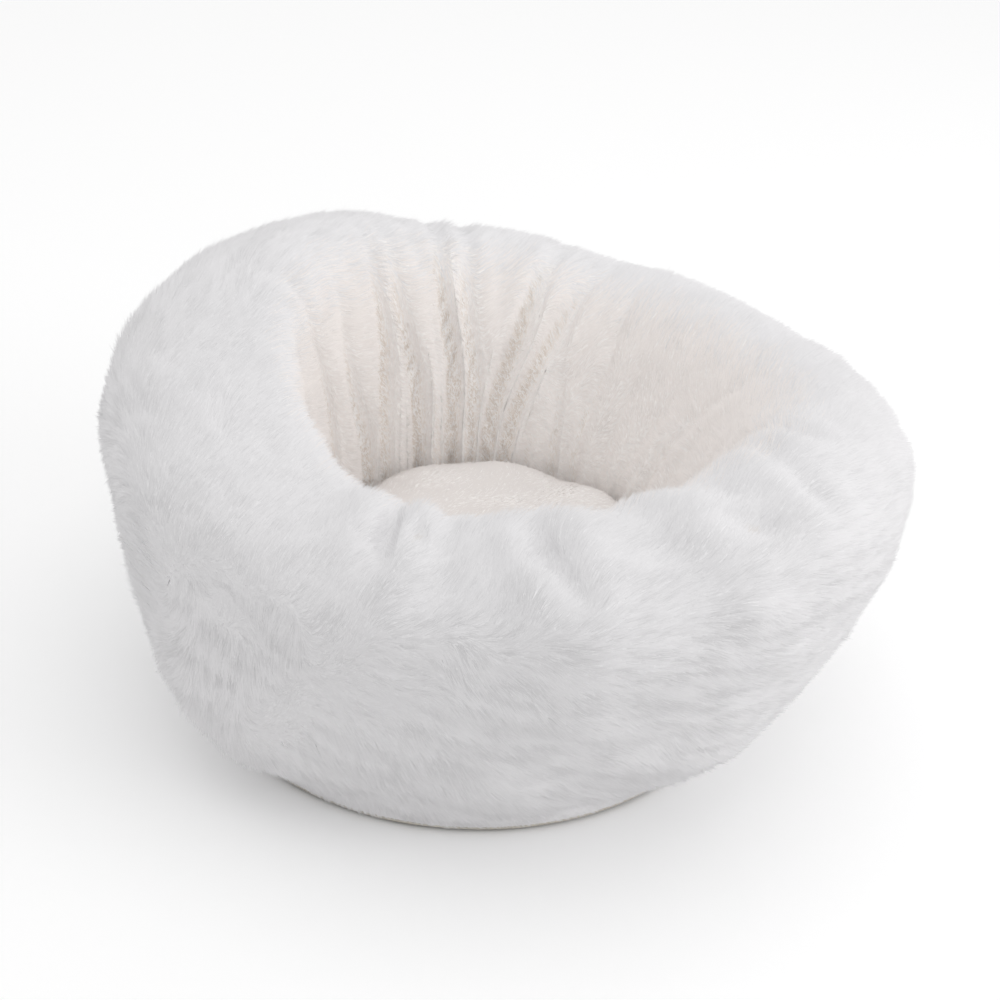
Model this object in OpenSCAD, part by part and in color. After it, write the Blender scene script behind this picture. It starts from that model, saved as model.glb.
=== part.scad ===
// Round plush pet bed: a fibre-filled ring wall round a gathered well, with a loose
// domed cushion in the well and a zip low on the rear of the wall.
// Millimetres, +Z up, +Y to the rear. The origin is the centre of the round base,
// on the surface that the bed stands on.

/* [Wall] */
// Mean outer radius of the wall where it is widest
outer_r = 245; // [235:1:260]
// Mean height of the rim
rim_h = 215; // [205:1:235]
// Height of the widest line, as a share of the rim height there
bulge_share = 0.77; // [0.7:0.01:0.85]
// Mean place of the crest, from 0 at the well's side to 1 at the widest line
crest_share = 0.33; // [0.3:0.01:0.45]
// Radius of the seam between the wall and the base panel
base_r = 162; // [158:1:170]

/* [Unevenness of the soft wall] */
// How far the bulge leans to one side
bulge_shift = 30; // [0:1:32]
// How far the bulge is drawn out into an oval
bulge_oval = 6; // [0:1:7]
// How far the bulge is drawn out into three lobes
bulge_lobes = 3; // [0:1:5]
// How much higher the rim stands on its high side
rim_tilt = 16; // [0:1:18]
// How much the rim rises and falls twice round the wall
rim_wave = 20; // [0:1:22]
// How much the crest's place changes round the wall
crest_shift = 0.27; // [0:0.01:0.28]

/* [Well] */
// Radius of the well's straight side
well_r = 107; // [103:1:108]
// Height at which the inner wall starts to flare
well_top_z = 94; // [90:1:98]
// Height of the top of the base pad
pad_top_z = 39.8; // [30:0.2:42]

/* [Fabric] */
// Thickness of the long-pile plush, backing and pressed pile
plush_t = 8; // [6:0.5:8]
// Thickness of the short-pile plush in the well
short_plush_t = 6; // [4:0.5:6]
// Thickness of the non-slip base fabric
base_fabric_t = 1.5; // [1:0.1:1.6]
// Height of the grip dots under the base
dot_h = 1.5; // [1:0.1:1.8]
// Distance between neighbouring grip dots
dot_pitch = 26; // [22:1:32]

/* [Cushion] */
// Height of the middle of the cushion's dome
cushion_top_z = 114; // [108:1:118]
// Height of the cushion's seam
cushion_seam_z = 74; // [68:1:78]

/* [Zip] */
// Half of the angle that the zip covers, seen from the base's centre
zip_half_angle = 50; // [30:1:50]
// Width of the zip tape that shows below the coils
tape_low_w = 15; // [10:0.5:15.5]
// Width of the zip tape that shows above the coils
tape_up_w = 9.3; // [6:0.1:9.4]
// Length of the pull tab from its pivot to its tip
pull_l = 10.4; // [8:0.1:10.4]

/* [Hidden] */

// Colours
plush_white = [0.93, 0.92, 0.91];
plush_cream = [0.92, 0.89, 0.86];
fibre_white = [0.97, 0.97, 0.97];
liner_white = [0.90, 0.90, 0.90];
base_beige = [0.78, 0.74, 0.68];
dot_grey = [0.62, 0.60, 0.57];
tape_white = [0.88, 0.87, 0.85];
coil_white = [0.94, 0.93, 0.91];
zip_metal = [0.75, 0.75, 0.76];

// Gap left between pieces that lie against each other
gap = 0.2;
liner_t = 0.8;
floor_t = 1.6;
// How far the wall's underside reaches in past the base seam
seam_tuck = 4.5;

// Middle of the well, from the base's centre
well_mid = [9, 10];

// Directions of the unevenness, in degrees from +X towards +Y
bulge_shift_dir = 49;
bulge_oval_dir = -36;
bulge_lobes_dir = 60;
rim_tilt_dir = 122;
rim_wave_dir = -36;
crest_shift_dir = 36;

// Shape of the section: how far the flank's two ends keep their direction, then the
// roundness of the shoulder and the inner side, where 1 is an ellipse and more is flatter
flank_reach = 0.3;
shoulder_power = 0.92;
inner_power = 1.36;

// The wall's lowest edge is a cone, which the zip lies in at the rear
edge_z = dot_h + base_fabric_t + 1;
edge_w = 21;
edge_h = 22;
edge_slope = atan2(edge_h, edge_w);
edge_len = norm([edge_w, edge_h]);

// Steps round the wall and along each stretch of its section
turn_steps = 48;
arc_steps = 5;
turn_step = 360 / turn_steps;

function wave(size, count, direction, turn) = size * cos(count * (turn - direction));

// Distance from the Z axis to a circle whose middle is off the axis
function circle_r(radius, mid, turn) =
    let (along = mid.x * cos(turn) + mid.y * sin(turn))
    along + sqrt(radius * radius - mid.x * mid.x - mid.y * mid.y + along * along);

function bulge_at(turn) = outer_r + wave(bulge_shift, 1, bulge_shift_dir, turn)
    + wave(bulge_oval, 2, bulge_oval_dir, turn) + wave(bulge_lobes, 3, bulge_lobes_dir, turn);
function rim_at(turn) = rim_h + wave(rim_tilt, 1, rim_tilt_dir, turn)
    + wave(rim_wave, 2, rim_wave_dir, turn);
function well_at(turn) = circle_r(well_r, well_mid, turn);
function crest_at(turn) = well_at(turn) + (bulge_at(turn) - well_at(turn))
    * (crest_share + wave(crest_shift, 1, crest_shift_dir, turn));

// Points of the section as [distance from the axis, height]; inset moves them into the wall
function edge_point(along, inset) = [
    base_r + along * cos(edge_slope) - inset * sin(edge_slope),
    edge_z + along * sin(edge_slope) + inset * cos(edge_slope)];
function bezier(a, b, c, d, share) =
    pow(1 - share, 3) * a + 3 * share * pow(1 - share, 2) * b
    + 3 * share * share * (1 - share) * c + pow(share, 3) * d;
function flank_point(turn, inset, share) =
    let (low = edge_point(edge_len, inset),
        wide = [bulge_at(turn) - inset, bulge_share * rim_at(turn)],
        reach = flank_reach * norm(wide - low))
    bezier(low, low + reach * [cos(edge_slope), sin(edge_slope)], wide - [0, reach], wide,
        share);
function shoulder_point(turn, inset, share) =
    let (wide = bulge_at(turn) - inset, top = rim_at(turn) - inset,
        mid_z = bulge_share * rim_at(turn), crest = crest_at(turn))
    [crest + (wide - crest) * pow(cos(90 * share), shoulder_power),
        mid_z + (top - mid_z) * pow(sin(90 * share), shoulder_power)];
function inner_point(turn, inset, share, top_inset) =
    let (side = well_at(turn) + inset, top = rim_at(turn) - top_inset, crest = crest_at(turn))
    [crest - (crest - side) * pow(sin(90 * share), inner_power),
        well_top_z + (top - well_top_z) * pow(cos(90 * share), inner_power)];

// Stretches of the section between two shares, ends included
function shares(from, to) = [for (i = [0:arc_steps]) from + (to - from) * i / arc_steps];
function flank(turn, inset) =
    [for (i = [0:arc_steps - 1]) flank_point(turn, inset, i / arc_steps)];
function shoulder(turn, inset, last) =
    [for (s = shares(0, 1)) shoulder_point(turn, inset, min(s, last))];
function inner(turn, inset, first, top_inset) =
    [for (s = shares(first, 1)) inner_point(turn, inset, s, top_inset)];

// A closed section swept once round the Z axis, one ring of points for each turn step.
// From point number back on, the section runs back on its inner side, and its facets are
// split the other way, so that they lie along those of the layer under them.
module swept(section, back) {
    rings = [for (i = [0:turn_steps - 1]) section(i * turn_step)];
    size = len(rings[0]);
    points = [for (i = [0:turn_steps - 1], p = rings[i])
        [p.x * cos(i * turn_step), p.x * sin(i * turn_step), p.y]];
    function at(i, j) = (i % turn_steps) * size + j % size;
    faces = [for (i = [0:turn_steps - 1], j = [0:size - 1], half = [0, 1])
        j < back ? (half == 0 ? [at(i, j), at(i, j + 1), at(i + 1, j)]
            : [at(i, j + 1), at(i + 1, j + 1), at(i + 1, j)])
        : (half == 0 ? [at(i, j), at(i, j + 1), at(i + 1, j + 1)]
            : [at(i, j), at(i + 1, j + 1), at(i + 1, j)])];
    polyhedron(points, faces, convexity = 6);
}

// The whole wall section, from the base up over the rim and down into the well
function wall_section(turn, inset, well_inset, floor_z) = concat(
    [[base_r - inset - seam_tuck, floor_z], edge_point(inset, inset)],
    flank(turn, inset), shoulder(turn, inset, 1),
    [for (i = [1:arc_steps]) inner_point(turn, well_inset, i / arc_steps, inset)],
    [[well_at(turn) + well_inset, floor_z]]);
wall_points = 3 * arc_steps + 4;

// The outer cover stops above the zip at the rear and at the base seam elsewhere
crest_end = 0.995;
// The opening for the zip: how far it runs past the zip's ends and into the flank
zip_gap_half = zip_half_angle + 2.5;
zip_gap_top = edge_len - 1.5;
function rear_angle(turn) = abs((turn - 90 + 540) % 360 - 180);
function cover_start(turn) = rear_angle(turn) <= zip_gap_half ? zip_gap_top : 0;
function outer_cover_section(turn) =
    let (start = cover_start(turn), middle = (start + edge_len) / 2)
    concat([edge_point(start, 0), edge_point(middle, 0)],
        flank(turn, 0), shoulder(turn, 0, crest_end),
        [for (i = [arc_steps:-1:0])
            shoulder_point(turn, plush_t, min(i / arc_steps, crest_end))],
        [for (i = [arc_steps - 1:-1:0]) flank_point(turn, plush_t, i / arc_steps)],
        [edge_point(middle, plush_t), edge_point(start, plush_t)]);

// The inner cover runs from the crest down the well's side to the well floor
inner_start = 0.015;
cover_foot_z = pad_top_z + gap + floor_t + 2 * gap;
function inner_cover_section(turn) = concat(
    inner(turn, 0, inner_start, 0), [[well_at(turn), cover_foot_z]],
    [[well_at(turn) + short_plush_t, cover_foot_z]],
    [for (s = shares(1, inner_start)) inner_point(turn, short_plush_t, s, short_plush_t)]);

outer_fill_inset = plush_t + liner_t + 2 * gap;
tape_inset = short_plush_t + gap;
gather_tape_t = 1.1;
liner_well_inset = tape_inset + gather_tape_t + 2 * gap;
fill_well_inset = liner_well_inset + liner_t + gap;
liner_floor_z = dot_h + base_fabric_t + gap;

module wall_fill() {
    color(fibre_white)
        swept(function(turn) wall_section(turn, outer_fill_inset, fill_well_inset,
            liner_floor_z + liner_t + gap), wall_points);
}

module fill_liner() {
    color(liner_white)
        difference() {
            swept(function(turn) wall_section(turn, plush_t + gap, liner_well_inset,
                liner_floor_z), wall_points);
            swept(function(turn) wall_section(turn, outer_fill_inset - gap,
                fill_well_inset - gap, liner_floor_z + liner_t), wall_points);
        }
}

module outer_cover() {
    color(plush_white)
        swept(function(turn) outer_cover_section(turn), 2 * arc_steps + 3);
}

module inner_cover() {
    color(plush_cream)
        swept(function(turn) inner_cover_section(turn), arc_steps + 2);
}

module in_well(z) {
    translate([well_mid.x, well_mid.y, z]) children();
}

// Twill tape that holds the gathers, behind the foot of the inner cover
gather_tape_w = 12;
module gather_tape() {
    color(tape_white)
        in_well(cover_foot_z)
            difference() {
                cylinder(h = gather_tape_w, r = well_r + tape_inset + gather_tape_t, $fn = 96);
                translate([0, 0, -1])
                    cylinder(h = gather_tape_w + 2, r = well_r + tape_inset, $fn = 96);
            }
}

floor_margin = 0.5;
pad_margin = 1;
module well_floor() {
    color(plush_cream)
        in_well(pad_top_z + gap)
            cylinder(h = floor_t, r = well_r + short_plush_t - floor_margin, $fn = 96);
}

module base_pad() {
    color(fibre_white)
        in_well(liner_floor_z)
            cylinder(h = pad_top_z - liner_floor_z, r = well_r + short_plush_t - pad_margin,
                $fn = 96);
}

panel_margin = 0.5;
module base_panel() {
    color(base_beige)
        translate([0, 0, dot_h])
            cylinder(h = base_fabric_t, r = base_r - panel_margin, $fn = 96);
}

// Grip dots on a square grid, the middle one on the origin
dot_r = 2.5;
dot_border = 14;
dot_field_r = base_r - dot_border;
dot_reach = ceil(dot_field_r / dot_pitch);
module grip_dots() {
    color(dot_grey)
        for (i = [-dot_reach:dot_reach], j = [-dot_reach:dot_reach])
            if (norm([i, j]) * dot_pitch < dot_field_r)
                translate([i * dot_pitch, j * dot_pitch, 0]) cylinder(h = dot_h, r = dot_r);
}

// Draws a flat shape on the edge cone: x runs up the cone, y out of it
module on_edge() {
    translate([base_r, edge_z]) rotate(edge_slope) mirror([0, 1]) children();
}

// A strip of the edge cone, from one height along it to another, between two lifts
module edge_strip(low, high, lift, thickness, half_angle) {
    rotate([0, 0, 90 - half_angle])
        rotate_extrude(angle = 2 * half_angle, $fn = 120)
            on_edge() translate([low, lift]) square([high - low, thickness]);
}

// The zip's coils meet a little above the middle of the edge cone
zip_mid = 18;
tape_t = 1;
coil_w = 2.05;
coil_h = 1.9;
coil_gap = 0.15;
coil_z = tape_t + 0.02;
tape_near = 1.2;
module zip_tape_lower() {
    color(tape_white)
        edge_strip(zip_mid - tape_near - tape_low_w, zip_mid - tape_near, 0, tape_t,
            zip_half_angle);
}

module zip_tape_upper() {
    color(tape_white)
        edge_strip(zip_mid + tape_near, zip_mid + tape_near + tape_up_w, 0, tape_t,
            zip_half_angle);
}

coil_half_angle = zip_half_angle - 2;
module zip_coil_lower() {
    color(coil_white)
        edge_strip(zip_mid - coil_gap - coil_w, zip_mid - coil_gap, coil_z, coil_h,
            coil_half_angle);
}

module zip_coil_upper() {
    color(coil_white)
        edge_strip(zip_mid + coil_gap, zip_mid + coil_gap + coil_w, coil_z, coil_h,
            coil_half_angle);
}

// Places a piece on the edge cone at a turn: x runs up the cone, y along it, z out of it
module at_zip(turn, lift) {
    rotate([0, 0, turn])
        translate([base_r, 0, edge_z])
            rotate([0, 90 - edge_slope, 0])
                rotate([0, 90, 0])
                    rotate([0, 0, 180])
                        translate([zip_mid, 0, lift])
                            children();
}

stop_l = 2.2;
stop_h = 2.1;
stop_inset = 0.9;
top_stop_w = 1.6;
top_stop_shift = 2.4;
bottom_stop_w = 6.4;
closed_turn = 90 - zip_half_angle + stop_inset;
open_turn = 90 + zip_half_angle - stop_inset;
module zip_top_stops() {
    color(zip_metal)
        for (side = [-1, 1])
            at_zip(closed_turn, tape_t)
                translate([side * top_stop_shift - top_stop_w / 2, -stop_l / 2, 0])
                    cube([top_stop_w, stop_l, stop_h]);
}

module zip_bottom_stop() {
    color(zip_metal)
        at_zip(open_turn, tape_t)
            translate([-bottom_stop_w / 2, -stop_l / 2, 0])
                cube([bottom_stop_w, stop_l, stop_h]);
}

// The slider is drawn at the closed end, just clear of the top stops
slider_turn = closed_turn + 2.4;
slider_l = 10;
slider_w = 7.6;
flange_w = 1.2;
slider_clear = 0.4;
plate_z = tape_t + coil_h + slider_clear;
plate_t = 1;
bail_lift = 2.3;
bail_z = plate_z + plate_t + bail_lift;
bail_r = 0.8;
post_l = 1.5;
post_w = 2;
bail_l = 8;
// How far joined pieces of the slider run into each other
overlap = 0.1;
module zip_slider() {
    color(zip_metal)
        at_zip(slider_turn, 0) {
            translate([-slider_w / 2, -slider_l / 2, plate_z])
                cube([slider_w, slider_l, plate_t]);
            for (side = [-1, 1])
                translate([side * (slider_w - flange_w) / 2 - flange_w / 2, -slider_l / 2,
                    tape_t + slider_clear])
                    cube([flange_w, slider_l, plate_z - tape_t]);
            for (end = [-1, 1])
                translate([-post_w / 2, end * (bail_l - post_l) / 2 - post_l / 2,
                    plate_z + plate_t - overlap])
                    cube([post_w, post_l, bail_lift + bail_r + 3 * overlap]);
            translate([0, bail_l / 2 - post_l / 2, bail_z])
                rotate([90, 0, 0]) cylinder(h = bail_l - post_l, r = bail_r, $fn = 48);
        }
}

// The tab's eye turns on the bail, and the tab hangs straight down from it
eye_r = 1.9;
eye_bore_r = bail_r + 0.08;
eye_w = 4;
neck_l = 1.5;
tab_w = 6;
tab_t = 1.2;
module zip_pull_tab() {
    color(zip_metal)
        at_zip(slider_turn, bail_z)
            rotate([0, 90 - edge_slope, 0])
                difference() {
                    union() {
                        translate([0, eye_w / 2, 0])
                            rotate([90, 0, 0]) cylinder(h = eye_w, r = eye_r, $fn = 48);
                        translate([-eye_r - neck_l, -eye_w / 2, -tab_t / 2])
                            cube([eye_r + neck_l, eye_w, tab_t]);
                        translate([-pull_l, -tab_w / 2, -tab_t / 2])
                            cube([pull_l - eye_r - neck_l + 5 * overlap, tab_w, tab_t]);
                    }
                    translate([0, eye_w, 0])
                        rotate([90, 0, 0])
                            cylinder(h = 2 * eye_w, r = eye_bore_r, $fn = 48);
                }
}

// A blank sewn-in label, beside the end of the zip
label_w = 22;
label_l = 26;
label_t = 0.6;
label_turn = 90 + zip_half_angle + 9;
label_lift = 0.8;
label_start = 1;
module care_label() {
    color(tape_white)
        at_zip(label_turn, label_lift)
            translate([label_start - zip_mid, -label_w / 2, 0])
                cube([label_l, label_w, label_t]);
}

// The cushion's section is two superellipse quarters that meet at its seam
cushion_clear = 0.6;
cushion_r = well_r - cushion_clear;
cushion_foot_z = pad_top_z + gap + floor_t + 2 * gap;
dome_power = 2.6;
under_power = 4;
cushion_steps = 16;
under_t = 1.2;
function cushion_curve(radius, from_z, to_z, power) =
    [for (i = [0:cushion_steps])
        let (a = 90 * i / cushion_steps)
        [radius * pow(cos(a), 2 / power), from_z + (to_z - from_z) * pow(sin(a), 2 / power)]];
module cushion_round(outline) {
    in_well(0) rotate_extrude($fn = 96) polygon(outline);
}

module cushion_top() {
    color(plush_cream)
        cushion_round(concat(
            cushion_curve(cushion_r, cushion_seam_z, cushion_top_z, dome_power),
            [for (i = [cushion_steps:-1:0])
                cushion_curve(cushion_r - short_plush_t, cushion_seam_z,
                    cushion_top_z - short_plush_t, dome_power)[i]]));
}

module cushion_bottom() {
    color(base_beige)
        cushion_round(concat(
            cushion_curve(cushion_r, cushion_seam_z - gap, cushion_foot_z, under_power),
            [for (i = [cushion_steps:-1:0])
                cushion_curve(cushion_r - under_t, cushion_seam_z - gap,
                    cushion_foot_z + under_t, under_power)[i]]));
}

fill_inset = short_plush_t + gap;
fill_step = 1;
module cushion_fill() {
    top = cushion_curve(cushion_r - fill_inset, cushion_seam_z, cushion_top_z - fill_inset,
        dome_power);
    under = cushion_curve(cushion_r - fill_inset, cushion_seam_z - fill_step,
        cushion_foot_z + under_t + gap, under_power);
    color(fibre_white)
        cushion_round(concat(under, [for (i = [cushion_steps:-1:0]) top[i]]));
}

wall_fill();
fill_liner();
outer_cover();
inner_cover();
gather_tape();
well_floor();
base_pad();
base_panel();
grip_dots();
care_label();
zip_tape_lower();
zip_tape_upper();
zip_coil_lower();
zip_coil_upper();
zip_top_stops();
zip_bottom_stop();
zip_slider();
zip_pull_tab();
cushion_top();
cushion_bottom();
cushion_fill();
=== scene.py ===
"""Round plush pet bed: soft covers with gathers, a stuffed loose cushion, real pile and the
zip's small parts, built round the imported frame. Metres, +Z up, +Y to the rear."""
import math

import bpy
import numpy as np
from mathutils import Matrix, Vector, kdtree


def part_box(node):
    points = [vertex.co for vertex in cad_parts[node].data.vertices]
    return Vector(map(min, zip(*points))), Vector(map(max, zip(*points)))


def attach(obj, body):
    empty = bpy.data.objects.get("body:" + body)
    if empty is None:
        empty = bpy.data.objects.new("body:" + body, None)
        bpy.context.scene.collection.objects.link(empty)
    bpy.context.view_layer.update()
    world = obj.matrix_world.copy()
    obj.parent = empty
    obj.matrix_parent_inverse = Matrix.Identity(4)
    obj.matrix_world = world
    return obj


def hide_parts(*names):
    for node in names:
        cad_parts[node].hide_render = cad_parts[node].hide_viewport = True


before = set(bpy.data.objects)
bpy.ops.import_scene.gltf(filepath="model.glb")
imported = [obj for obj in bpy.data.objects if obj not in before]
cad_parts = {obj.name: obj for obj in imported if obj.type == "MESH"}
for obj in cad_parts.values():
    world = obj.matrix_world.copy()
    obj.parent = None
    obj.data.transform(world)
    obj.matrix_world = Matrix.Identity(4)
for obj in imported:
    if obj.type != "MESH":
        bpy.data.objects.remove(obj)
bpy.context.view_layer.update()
scene = bpy.context.scene


# ---------------------------------------------------------------- numbers of the frame

def middle(node):
    """The middle of a CAD node's box."""
    low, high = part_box(node)
    return np.array((low + high) / 2)


WELL = middle("well_floor")[:2]
FLOOR_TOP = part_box("well_floor")[1].z
# The edge cone, which holds the zip, starts at the base seam at this radius and height
EDGE_R, EDGE_Z = 0.162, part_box("base_panel")[1].z + 0.001
EDGE_W, EDGE_H = 0.021, 0.022
WELL_R, WELL_TOP = 0.107, 0.094
# Height of the widest place as a share of the rim's, and the fullness of the section's curves
BULGE_SHARE, FLANK_REACH, SHOULDER_POWER, INNER_POWER = 0.77, 0.3, 0.92, 1.36
COLS = 480
SECTION_STEPS = 90


def wave(size, count, direction, turn):
    """A wave with count crests in a full turn, one of them at direction in degrees."""
    return size * np.cos(count * (turn - math.radians(direction)))


def bulge_at(t):
    """The wall's outer radius at turn t."""
    return 0.245 + wave(0.030, 1, 49, t) + wave(0.006, 2, -36, t) + wave(0.003, 3, 60, t)


def rim_at(t):
    """The rim's height."""
    return 0.215 + wave(0.016, 1, 122, t) + wave(0.020, 2, -36, t)


def well_at(t):
    """The well's radius from the Z axis, as the well stands off the axis."""
    along = WELL[0] * np.cos(t) + WELL[1] * np.sin(t)
    return along + np.sqrt(WELL_R ** 2 - WELL @ WELL + along ** 2)


def crest_at(t):
    """The radius at which the rim is highest."""
    return well_at(t) + (bulge_at(t) - well_at(t)) * (0.33 + wave(0.27, 1, 36, t))


# ---------------------------------------------------------------- surfaces as grids

def smooth_step(low, high, x):
    """0 where x is low, 1 where it is high, and a soft rise between. low may be the larger."""
    s = np.clip((x - low) / (high - low), 0, 1)
    return s * s * (3 - 2 * s)


def bell(x, width):
    """1 where x is 0, falling off on both sides within about two widths."""
    return np.exp(-(x / width) ** 2)


def resample(points, rows):
    """Points [cols, n, 2] along a stretch of the section, as rows at even distances."""
    step = np.linalg.norm(np.diff(points, axis=1), axis=2)
    run = np.concatenate([np.zeros((len(step), 1)), np.cumsum(step, axis=1)], axis=1)
    out = np.empty((len(points), rows, 2))
    for i, (p, r) in enumerate(zip(points, run)):
        at = np.linspace(0, r[-1], rows)
        out[i, :, 0], out[i, :, 1] = np.interp(at, r, p[:, 0]), np.interp(at, r, p[:, 1])
    return out


def section(t, rows):
    """The wall's section at turns t, from the base seam over the rim and down into the well."""
    s = np.linspace(0, 1, SECTION_STEPS)[None, :]
    bulge, rim, well, crest = (np.repeat(f(t)[:, None], SECTION_STEPS, axis=1)
                               for f in (bulge_at, rim_at, well_at, crest_at))
    mid = BULGE_SHARE * rim
    foot = np.array([EDGE_R, EDGE_Z])
    low = foot + np.array([EDGE_W, EDGE_H])
    slope = (low - foot) / np.linalg.norm(low - foot)
    cone = np.stack([EDGE_R + EDGE_W * s + 0 * well, EDGE_Z + EDGE_H * s + 0 * well], axis=2)
    reach = FLANK_REACH * np.hypot(bulge - low[0], mid - low[1])
    x = [low[0] + 0 * bulge, low[0] + reach * slope[0], bulge, bulge]
    z = [low[1] + 0 * bulge, low[1] + reach * slope[1], mid - reach, mid]
    bern = [(1 - s) ** 3, 3 * s * (1 - s) ** 2, 3 * s * s * (1 - s), s ** 3]
    flank = np.stack([sum(b * a for b, a in zip(bern, x)),
                      sum(b * a for b, a in zip(bern, z))], axis=2)
    c, q = np.cos(s * math.pi / 2).clip(0), np.sin(s * math.pi / 2)
    shoulder = np.stack([crest + (bulge - crest) * c ** SHOULDER_POWER,
                         mid + (rim - mid) * q ** SHOULDER_POWER], axis=2)
    inner = np.stack([crest - (crest - well) * q ** INNER_POWER,
                      WELL_TOP + (rim - WELL_TOP) * c ** INNER_POWER], axis=2)
    side = np.stack([well, WELL_TOP + (FLOOR_TOP - WELL_TOP) * s + 0 * well], axis=2)
    parts = [np.concatenate([cone, flank[:, 1:]], axis=1), shoulder, inner, side]
    made = [resample(p, n) for p, n in zip(parts, rows)]
    return np.concatenate([made[0]] + [m[:, 1:] for m in made[1:]], axis=1)


def turned(rz, t):
    """Section points [cols, rows, (radius, z)] set out round the Z axis at turns t."""
    return np.stack([rz[..., 0] * np.cos(t)[:, None], rz[..., 0] * np.sin(t)[:, None],
                     rz[..., 1]], axis=2)


def normals_of(grid):
    """Unit normals of a grid that closes round its columns."""
    du = np.roll(grid, -1, 0) - np.roll(grid, 1, 0)
    dv = np.gradient(grid, axis=1)
    n = np.cross(du, dv)
    return n / np.linalg.norm(n, axis=2, keepdims=True)


def lumps(points, wavelength, seed, count=14):
    """Smooth unevenness between about -1 and 1 at points [..., 3]."""
    r = np.random.default_rng(seed)
    k = r.normal(size=(count, 3))
    k *= (2 * math.pi / wavelength) * r.uniform(0.7, 1.3, (count, 1)) / np.linalg.norm(
        k, axis=1, keepdims=True)
    phase = r.uniform(0, 2 * math.pi, count)
    total = 0
    for a, p in zip(k, phase):
        total = total + np.sin(points @ a + p)
    return total / math.sqrt(count) * 0.9


# Rows of points on the flank, over the shoulder, down the well's curve and down its side
ROWS = (58, 31, 46, 19)
turns = np.arange(COLS) / COLS * 2 * math.pi
outline = section(turns, ROWS)
wall = turned(outline, turns)
ROW_WIDE, ROW_CREST, ROW_WELL = ROWS[0] - 1, ROWS[0] + ROWS[1] - 2, sum(ROWS[:3]) - 3
LAST = wall.shape[1] - 1
row = np.arange(LAST + 1)
wall_n = normals_of(wall)
arc = np.concatenate([np.zeros((COLS, 1)), np.cumsum(
    np.linalg.norm(np.diff(wall, axis=1), axis=2), axis=1)], axis=1)

# Gathers: turn at the foot in degrees, depth 0 to 1, how far down they start (0 crest, 1
# foot), and how far they have leant by the crest
GATHERS = [(153, 1.0, 0.05, -6), (138, 1.0, 0.25, -5), (129, 1.1, 0.0, 5), (115, 1.2, -0.05, -4),
           (122, 0.45, 0.45, 0), (109, 0.6, 0.3, -1), (103, 1.25, -0.15, -2),
           (96.5, 0.95, -0.15, -2), (92, 1.2, -0.1, 13), (85.5, 1.05, 0.0, 17),
           (77, 0.5, 0.4, 6), (69, 0.6, 0.35, -4), (60, 0.55, 0.15, 0), (50, 0.35, 0.5, 4),
           (40, 0.4, 0.4, 8), (30, 0.5, 0.2, 13), (18, 0.3, 0.5, 4), (4, 0.45, 0.35, 6),
           (-11, 0.4, 0.45, 3), (-25, 0.5, 0.3, 4), (-41, 0.5, 0.4, 2), (-57, 0.6, 0.3, 2),
           (-74, 0.6, 0.25, 3), (-90, 0.5, 0.4, 0), (-105, 0.7, 0.15, -3), (-122, 0.5, 0.4, 0),
           (-138, 0.6, 0.3, -2), (-154, 0.5, 0.4, 0), (-169, 0.7, 0.3, 2), (170, 0.6, 0.35, -3)]
GATHER_DEPTH, GATHER_PUFF = 0.0056, 0.0034
GATHER_WIDTH, PUFF_AWAY, PUFF_SPREAD = 0.0022, 0.011, 0.007
# How much wider a gather is at the crest, how far it wanders, and how far from its line the
# pile takes the painted fold shade and lies along it
GATHER_FLARE, GATHER_WAVER, GATHER_CORE, GATHER_SIDE = 0.0013, 0.0016, 0.0016, 0.0065
# Creases over the rim: turn in degrees and distance from the base seam at both ends, depth
CREASES = [(247, 0.268, 253, 0.212, 0.0095), (281, 0.262, 285, 0.214, 0.0080),
           (334, 0.306, 326, 0.250, 0.0085), (358, 0.345, 343, 0.290, 0.0070),
           (256, 0.252, 259, 0.236, 0.0050), (312, 0.262, 318, 0.242, 0.0050)]
CREASE_WIDTH, CREASE_SIDE = 0.0036, 0.008
CREASE_PUFF, CREASE_PUFF_AWAY, CREASE_PUFF_SPREAD = 0.42, 0.017, 0.013


def gathered(grid, n):
    """The well's side pulled into folds by the tape at its foot, how deep each place is in a
    fold and how near it is to one, both from 0 to 1."""
    v = np.clip((row - ROW_CREST) / (ROW_WELL - ROW_CREST), -0.7, 1)[None, :]
    radius = np.hypot(grid[..., 0] - WELL[0], grid[..., 1] - WELL[1])
    turn = np.arctan2(grid[..., 1] - WELL[1], grid[..., 0] - WELL[0])
    move, deep, beside = (np.zeros(grid.shape[:2]) for _ in range(3))
    for turn_k, depth, start, lean in GATHERS:
        off = turn - math.radians(turn_k) - math.radians(lean) * (np.clip(v, 0, 1) - 1)
        off = (off + math.pi) % (2 * math.pi) - math.pi
        d = off * radius + GATHER_WAVER * np.sin(9 * v + turn_k)
        fade = smooth_step(start - 0.35, start + 0.65, v) * np.ones_like(move)
        wide = GATHER_WIDTH + GATHER_FLARE * (1 - v)
        move -= GATHER_DEPTH * depth * fade * bell(d, wide)
        puff = bell(np.abs(d) - PUFF_AWAY, PUFF_SPREAD)
        move += GATHER_PUFF * depth * fade * puff
        deep = np.maximum(deep, 1.1 * depth * fade * bell(d, GATHER_CORE))
        beside = np.maximum(beside, 1.3 * depth * fade * bell(d, GATHER_SIDE))
    return grid + n * move[..., None], deep.clip(0, 1), beside.clip(0, 1)


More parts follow.
